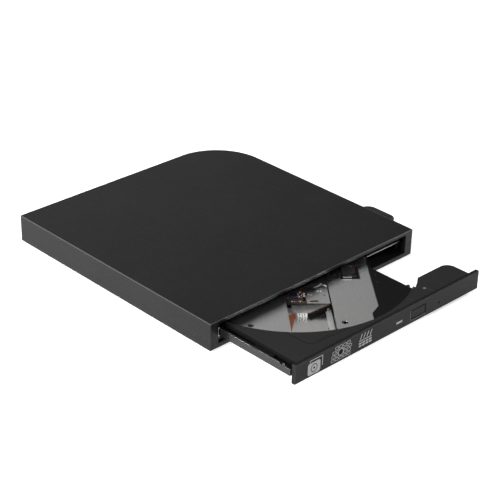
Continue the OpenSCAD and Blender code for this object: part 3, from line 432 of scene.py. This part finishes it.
class Build:
    """Collects prisms with their finishes, so that one piece can hold many small parts."""

    def __init__(self, at=P):
        self.verts, self.faces, self.finishes, self.at = [], [], [], at

    def prism(self, outline, z0, z1, finish=None, put=as_is):
        """outline in x, y, from z0 to z1. put turns it another way; no finish means the piece's first."""
        first, n = len(self.verts), len(outline)
        self.verts += [self.at(*put(x, y, z)) for z in (z0, z1) for x, y in outline]
        self.faces += [tuple(range(first, first + n)), tuple(range(first + n, first + 2 * n))]
        self.faces += [(first + i, first + (i + 1) % n, first + n + (i + 1) % n, first + n + i)
                       for i in range(n)]
        self.finishes += [finish] * (n + 2)

    def block(self, x, y, z, w, d, h, finish=None, turn=0.0):
        """Centred on x, y, standing on z, with cut corners."""
        c = 0.12 * min(w, d)
        pts = [(w / 2 - c, -d / 2), (w / 2, -d / 2 + c), (w / 2, d / 2 - c), (w / 2 - c, d / 2),
               (-w / 2 + c, d / 2), (-w / 2, d / 2 - c), (-w / 2, -d / 2 + c), (-w / 2 + c, -d / 2)]
        s, t = math.sin(turn), math.cos(turn)
        self.prism([(x + a * t - b * s, y + a * s + b * t) for a, b in pts], z, z + h, finish)

    def disc(self, x, y, z0, z1, r, finish=None, sides=24, put=as_is):
        self.prism([(x + r * math.cos(i * 2 * math.pi / sides), y + r * math.sin(i * 2 * math.pi / sides))
                    for i in range(sides)], z0, z1, finish, put)

    def ring(self, x, y, z0, z1, r0, r1, finish=None, sides=32, put=as_is):
        first = len(self.verts)
        for i in range(sides):
            t = i * 2 * math.pi / sides
            for r, z in ((r0, z0), (r1, z0), (r1, z1), (r0, z1)):
                self.verts.append(self.at(*put(x + r * math.cos(t), y + r * math.sin(t), z)))
        for i in range(sides):
            p, q = first + 4 * i, first + 4 * ((i + 1) % sides)
            self.faces += [(p + k, p + (k + 1) % 4, q + (k + 1) % 4, q + k) for k in range(4)]
        self.finishes += [finish] * (4 * sides)

    def make(self, name, body, finishes, width=0.0):
        index = [finishes.index(f) if f else 0 for f in self.finishes]
        return piece(name, self.verts, self.faces, body, finishes, index, width)


def tube(name, path, radius, body, finish, sides=20):
    """A round tube along path."""
    frames, n = [], len(path)
    up = Vector((0, 0, 1))
    for i, p in enumerate(path):
        t = (path[min(i + 1, n - 1)] - path[max(i - 1, 0)]).normalized()
        side = t.cross(up if abs(t.dot(up)) < 0.95 else Vector((0, 1, 0))).normalized()
        frames.append((p, side, side.cross(t).normalized()))
    verts, faces = [], []
    for i, (p, a, b) in enumerate(frames):
        for k in range(sides):
            w = k * 2 * math.pi / sides
            verts.append(p + (a * math.cos(w) + b * math.sin(w)) * radius)
    for i in range(n - 1):
        for k in range(sides):
            p, q = i * sides + k, i * sides + (k + 1) % sides
            faces.append((p, q, q + sides, p + sides))
    faces += [tuple(range(sides)), tuple(range((n - 1) * sides, n * sides))]
    return piece(name, verts, faces, body, [finish])


def smooth_path(points, steps=6):
    """Catmull-Rom through points."""
    out = []
    pts = [points[0] * 2 - points[1]] + points + [points[-1] * 2 - points[-2]]
    for i in range(1, len(pts) - 2):
        a, b, c, d = pts[i - 1:i + 3]
        for k in range(steps):
            t = k / steps
            out.append(0.5 * ((2 * b) + (c - a) * t + (2 * a - 5 * b + 4 * c - d) * t * t
                              + (3 * b - a - 3 * c + d) * t ** 3))
    return out + [points[-1]]


# ---------------------------------------------------------------- the lead in its groove
LEAD_Z, LEAD_R = 4.4, 1.8
LEAD = [(143.6, 41.8), (143.6, 46), (142.4, 51), (140, 57), (138.5, 62), (138.1, 68), (138.1, 76),
        (138.1, 85), (138.1, 94), (138.1, 103), (138.1, 111), (137.6, 118), (135.8, 125), (132, 131.2),
        (127, 136), (120.6, 139.5), (113.6, 141), (105, 141.1), (96, 141.1), (87, 141.1), (78, 141.1),
        (69, 141.1), (60, 141.1), (51, 141.1), (42, 141.1), (34, 141.1), (30.5, 140.2), (27.9, 137.6),
        (27, 134.1), (27, 129.2)]
lead = tube("lead", smooth_path([P(x, y, LEAD_Z) for x, y in LEAD]), LEAD_R * MM, "case", PVC)
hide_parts("usb_cable")

# ---------------------------------------------------------------- printed marks on the bezel
FILM = 0.02                           # how far the print stands off the bezel
marks = Build()


def on_front(x, z, y):
    return x, FRONT - y, z


def rounded(cx, cz, w, h, r, steps=6):
    """A rectangle with round corners."""
    pts = []
    for sx, sz, a0 in ((1, -1, -90), (1, 1, 0), (-1, 1, 90), (-1, -1, 180)):
        for k in range(steps + 1):
            a = math.radians(a0 + 90 * k / steps)
            pts.append((cx + sx * (w / 2 - r) + r * math.cos(a), cz + sz * (h / 2 - r) + r * math.sin(a)))
    return pts


def stamp(outline, finish=PRINT):
    marks.prism(outline, 0.0, FILM, finish, on_front)


def framed(cx, cz, w, h, r, t, finish=PRINT):
    """A thin rounded frame."""
    out, inn = rounded(cx, cz, w, h, r, 3), rounded(cx, cz, w - 2 * t, h - 2 * t, max(r - t, 0.05), 3)
    for i, j in zip(range(len(out)), [*range(1, len(out)), 0]):
        stamp([out[i], out[j], inn[j], inn[i]], finish)


# a filled square with a disc on it, and a second sheet behind
stamp(rounded(18.3, 6.4, 8.0, 6.2, 1.2))
marks.ring(18.3, 6.4, FILM, FILM * 1.5, 1.75, 2.15, INK_AND_SHADE, 28, on_front)
marks.disc(18.3, 6.4, FILM, FILM * 1.5, 0.6, INK_AND_SHADE, 20, on_front)
for x0, z0, w, d in ((15.6, 10.3, 0.4, 0.9), (19.6, 10.75, 8.2, 0.4), (23.6, 8.1, 0.4, 5.2)):
    stamp(rounded(x0, z0, w, d, 0.18, 3))
# a bank of framed bars round a disc
for row, (n, x0) in enumerate(((4, 31.6), (5, 30.0), (5, 29.4), (5, 29.2))):
    for i in range(n):
        framed(x0 + 1.25 + i * 2.6, 10.3 - row * 1.95, 2.3, 1.6, 0.4, 0.27)
marks.ring(35.6, 7.3, FILM, FILM * 1.4, 1.5, 1.9, PRINT, 28, on_front)
marks.disc(35.6, 7.3, FILM, FILM * 1.3, 1.5, INK_AND_SHADE, 24, on_front)
# slanted strokes over two rows of bars
for i in range(4):
    x = 48.2 + 2.2 * i
    stamp([(x, 8.3), (x + 0.55, 8.3), (x + 1.75, 10.9), (x + 1.2, 10.9)])
stamp(rounded(52.0, 7.55, 8.6, 0.45, 0.2, 3))
for row in range(2):
    for i in range(4):
        stamp(rounded(48.6 + 2.3 * i, 6.2 - 1.35 * row, 1.8, 0.9, 0.2, 3))
# the button's groove, with painted shade in it and a painted highlight on its lower and left edges
framed(89.25, 6.9, 11.1, 5.4, 0.5, 0.3, INK_AND_SHADE)
for cx, cz, w, d in ((89.25, 4.1, 10.6, 0.16), (83.6, 6.9, 0.16, 5.0)):
    x0, x1, z0, z1 = cx - w / 2, cx + w / 2, cz - d / 2, cz + d / 2
    stamp([(x0, z0), (x1, z0), (x1, z1), (x0, z1)], GROOVE_HIGHLIGHT)
marks.make("bezel_marks", "tray", [PRINT, INK_AND_SHADE, GROOVE_HIGHLIGHT])

# ---------------------------------------------------------------- what fills the tray's window
SMALL = [BLACKP, GLINT, FLEX, RUST, RED, GREEN, YELLOW, GOLD, CHIP, COPPER, SATIN, INK_AND_SHADE]
base = Build(H)
base.prism([(1.6, 27.4), (-16.9, 26.8), (-15.9, 27.8), (-5.6, 35.4), (-0.4, 35.4), (1.4, 33)],
           WELL + 0.02, 5.0)
base.prism([(-14.3, 29.5), (-14.3, 57.5), (-17.1, 57.5), (-17.1, 29.5)], WELL + 0.02, WELL + 0.08)
base.prism([(8.6, 35.9), (4.6, 35.9), (3.2, 34.9), (-0.5, 32.1), (-1.6, 31.2), (-1.6, 28.5), (8.6, 28.5)],
           FLEX_TOP + SINK, FLEX_TOP + 0.07)
base.make("well_plate", "tray", [SATIN], 0.06)
# a dark disc under the hole in the window's floor, painted shade where the floor below would show through
under = Build(H)
under.disc(-14.6, 47.2, 3.15, 3.32, 1.0)
under.make("hole_shade", "tray", [INK_AND_SHADE])

# the pickup's small parts; those nearer its far end than SHUT_IN pass under the tray, so they stay low
SHUT_IN, LOW = 28, 0.28
top = Build(H)
for u, v, w, d, h, finish in (
        (-0.2, 22.5, 0.5, 0.4, 0.3, FLEX), (-1.5, 21.8, 0.6, 0.4, 0.3, RUST),
        (-2.8, 22.1, 0.6, 0.5, 0.5, GLINT), (-3.4, 21.9, 0.5, 0.4, 0.4, FLEX),
        (-4.3, 22.0, 0.4, 0.4, 0.3, RED), (-5.6, 21.8, 0.6, 0.4, 0.3, RUST),
        (1.6, 29.9, 0.7, 0.3, 0.2, GLINT), (0.4, 29.9, 0.5, 0.3, 0.2, GLINT),
        (-0.4, 30.4, 0.6, 0.5, 0.3, RED), (-1.6, 29.6, 0.7, 0.5, 0.4, FLEX),
        (-2.3, 30.2, 0.5, 0.5, 0.4, GLINT), (-2.9, 29.6, 0.6, 0.6, 0.5, FLEX),
        (-3.5, 30.5, 0.5, 0.4, 0.3, GREEN), (-4.2, 30.6, 0.5, 0.5, 0.3, RED)):
    top.block(u, v, SLED_TOP - SINK, w, d, min(h, LOW) if v > SHUT_IN else h, finish)
for u, v, finish in ((-5.9, 30.2, GREEN), (-6.5, 30.9, FLEX), (-7.0, 31.4, YELLOW), (-7.9, 30.6, YELLOW)):
    top.block(u, v, PLATE_TOP - SINK, 0.45, 0.5, 0.035, finish)
# bright marks beside the lens, painted highlights of its ring
for k, (u, v) in enumerate(((-1.8, 23.5), (-2.2, 25.8), (-3.5, 24.4), (-4.7, 23.3), (-4.6, 25.1))):
    top.block(u, v, SLED_TOP - SINK, 0.42, 1.0 if k % 2 else 0.7, 0.55, GLINT, 0.5 - 0.5 * k)
# the dark arrow, the screw and the pad on the plate, and beside them two bright pieces that are painted
# reflections
top.prism([(-6.9, 29.6), (-10.2, 29.4), (-10.2, 29.0), (-11.2, 30.2), (-10.2, 31.2), (-10.2, 30.9),
           (-6.9, 31.0)], PLATE_TOP - SINK, PLATE_TOP + 0.025)
top.disc(-14.4, 24.6, PLATE_TOP - SINK, PLATE_TOP + 0.05, 0.45, CHIP, 16)
top.block(-12.2, 19.5, PLATE_TOP - SINK, 3.0, 1.6, 0.05, CHIP)
top.prism([(-9.8, 17.6), (-12.2, 15.6), (-14.0, 13.0), (-14.6, 14.6), (-12.4, 16.6)],
          PLATE_TOP + 0.01, PLATE_TOP + 0.15, SATIN)
top.prism([(-14.6, 15.4), (-15.6, 14.8), (-16.7, 16.2), (-16.1, 16.7), (-15.4, 15.8)],
          PLATE_TOP + 0.01, PLATE_TOP + 0.15, GLINT)
top.make("pickup_parts", "sled", SMALL, 0.03)

LENS_V, HOLDER_TOP = 23.5, 8.3
lensrim = Build(H)
lensrim.ring(0, LENS_V, HOLDER_TOP, HOLDER_TOP + 0.3, 2.25, 2.9, BLACKP, 40)
for u in (-3.2, 3.2):
    for v in (LENS_V - 2.9, LENS_V + 2.9):
        lensrim.block(u, v, HOLDER_TOP, 1.1, 1.1, 0.28, COPPER)
lensrim.make("lens_rim", "lens", SMALL, 0.04)

BAR = math.radians(215.7)             # which way the strip's socket runs from its first end,
BAR_U, BAR_V = -6.7, 37.6             # and where that end is


def on_bar(a, b, z):
    """Millimetres along and across the socket to the row frame."""
    return H(BAR_U + a * math.cos(BAR) - b * math.sin(BAR), BAR_V + a * math.sin(BAR) + b * math.cos(BAR), z)


teeth = Build(on_bar)
for i in range(12):
    teeth.block(0.8 + i * 1.08, 1.7, SOCKET_TOP - SINK, 0.45, 0.7, 0.1, (RUST, FLEX, COPPER)[i % 3])
for a in (10.6, 11.3):
    teeth.prism([(a, -0.02), (a + 0.25, -0.02), (a + 0.25, 0.05), (a, 0.05)], 3.9, SOCKET_TOP - 0.1, GLINT)
teeth.make("socket_contacts", "tray", SMALL, 0.02)
slots = Build(H)
for u in (-1.4, -3.9):
    slots.block(u, 37.1, SOCKET_TOP - SINK, 0.45, 1.7, 0.05, CHIP)
    slots.block(u, 38.42, 4.0, 0.4, 0.06, 0.9, CHIP)
slots.block(-3.9, 37.9, SOCKET_TOP + 0.02, 0.4, 0.4, 0.06, RED)
slots.make("connector_slots", "tray", SMALL)

# the feed motor's top, seen through the notch in the shield
motor = Build(H)
motor.block(-28.9, 2.6, MOTOR_TOP, 7.4, 10.0, CAP_TOP - MOTOR_TOP, INK_AND_SHADE)
motor.block(-28.6, 1.6, CAP_TOP, 6.4, 7.4, 0.42, BLACKP)
motor.block(-28.6, 3.4, CAP_TOP + 0.42, 2.6, 0.35, 0.05, GLINT)
motor.block(-31.5, 1.7, CAP_TOP + 0.4, 0.55, 2.6, 0.1, RED)
motor.block(-30.6, -2.0, CAP_TOP + 0.4, 0.7, 0.5, 0.1, GLINT)
motor.block(-27.6, 8.0, CAP_TOP, 4.4, 1.3, 0.28, SATIN)
motor.prism([(-24.4, 10.4), (-29.4, 10.4), (-29.0, 11.2), (-25.0, 11.4)],
            CAP_TOP + 0.3, CAP_TOP + 0.36, SATIN)
for u, v in ((-21.8, 5.3), (-31.2, 8.3)):
    motor.disc(u, v, CAP_TOP, CAP_TOP + 0.33, 0.55, INK_AND_SHADE, 16)
# a dark sheet on the recess floor beside the shield, painted shade in the gap there
motor.prism([(-38.8, -13), (-38.8, 36.2), (-34.9, 42.7), (-34.8, 49.2), (-35.9, 48.6), (-36.0, 43),
             (-39.9, 36.5), (-39.9, -13)], RECESS, RECESS + 0.015, INK_AND_SHADE)
motor.make("feed_motor_top", "tray", SMALL, 0.06)

# dark sheets painted as the shade in the gap behind the bezel, on both sides of the tray's front step
GAP_END = BEZEL_BACK + 1.35
gap = Build()
for x0, x1 in ((12, 72), (96.5, 132)):
    gap.prism([(x0, BEZEL_BACK), (x1, BEZEL_BACK), (x1, GAP_END), (x0, GAP_END)], RIM_TOP, RIM_TOP + 0.012)
# a dark line painted as the shade in the moulding line on the front rim
for line in (((24.7, -22.6), (25.05, -22.6), (25.7, -36.3), (25.35, -36.4)),
             ((25.35, -36.4), (25.7, -36.3), (27.6, -38.0), (27.4, -38.35)),
             ((27.4, -38.35), (27.6, -38.0), (49.4, -39.6), (49.3, -39.95))):
    gap.prism(line, RIM_TOP, RIM_TOP + 0.01)
gap.make("bezel_gap_shade", "tray", [INK_AND_SHADE])


def case_outline(out):
    """The case's plan, moved outward by out millimetres."""
    arc = [math.radians(a) for a in range(0, 91, 3)]
    x, y, r = CASE_W - CORNER_R, CASE_D - CORNER_R, CORNER_R + out
    return [(-out, -out), (CASE_W + out, -out), *((x + r * math.cos(a), y + r * math.sin(a)) for a in arc),
            (-out, CASE_D + out)]


# a lighter band round the top edge of the case, a hair outside it: a painted highlight along that edge
HAIR, HIGHLIGHT_WIDTH, HIGHLIGHT_DEPTH = 0.004, 0.3, 0.35
rim = Build()
outer, inner = case_outline(HAIR), case_outline(-HIGHLIGHT_WIDTH)
for i, j in zip(range(len(outer)), [*range(1, len(outer)), 0]):
    rim.prism([outer[i], outer[j], inner[j], inner[i]], CASE_H - HIGHLIGHT_DEPTH, CASE_H + HAIR)
rim.make("case_edge_highlight", "case", [CASE_EDGE_HIGHLIGHT])

# ---------------------------------------------------------------- the floor
floor = bpy.data.meshes.new("studio_floor")
floor.from_pydata([(-4, -4, 0), (4, -4, 0), (4, 4, 0), (-4, 4, 0)], [], [(0, 1, 2, 3)])
floor_mat = bpy.data.materials.new("studio_floor")
floor_mat.use_nodes = True
fn = floor_mat.node_tree.nodes["Principled BSDF"]
fn.inputs["Base Color"].default_value = (0.86, 0.86, 0.86, 1)
fn.inputs["Roughness"].default_value = 0.9
fn.inputs["Specular IOR Level"].default_value = 0.1
fn.inputs["Emission Color"].default_value = (1, 1, 1, 1)
fn.inputs["Emission Strength"].default_value = 0.62
floor.materials.append(floor_mat)
ground = bpy.data.objects.new("studio_floor", floor)
bpy.context.scene.collection.objects.link(ground)
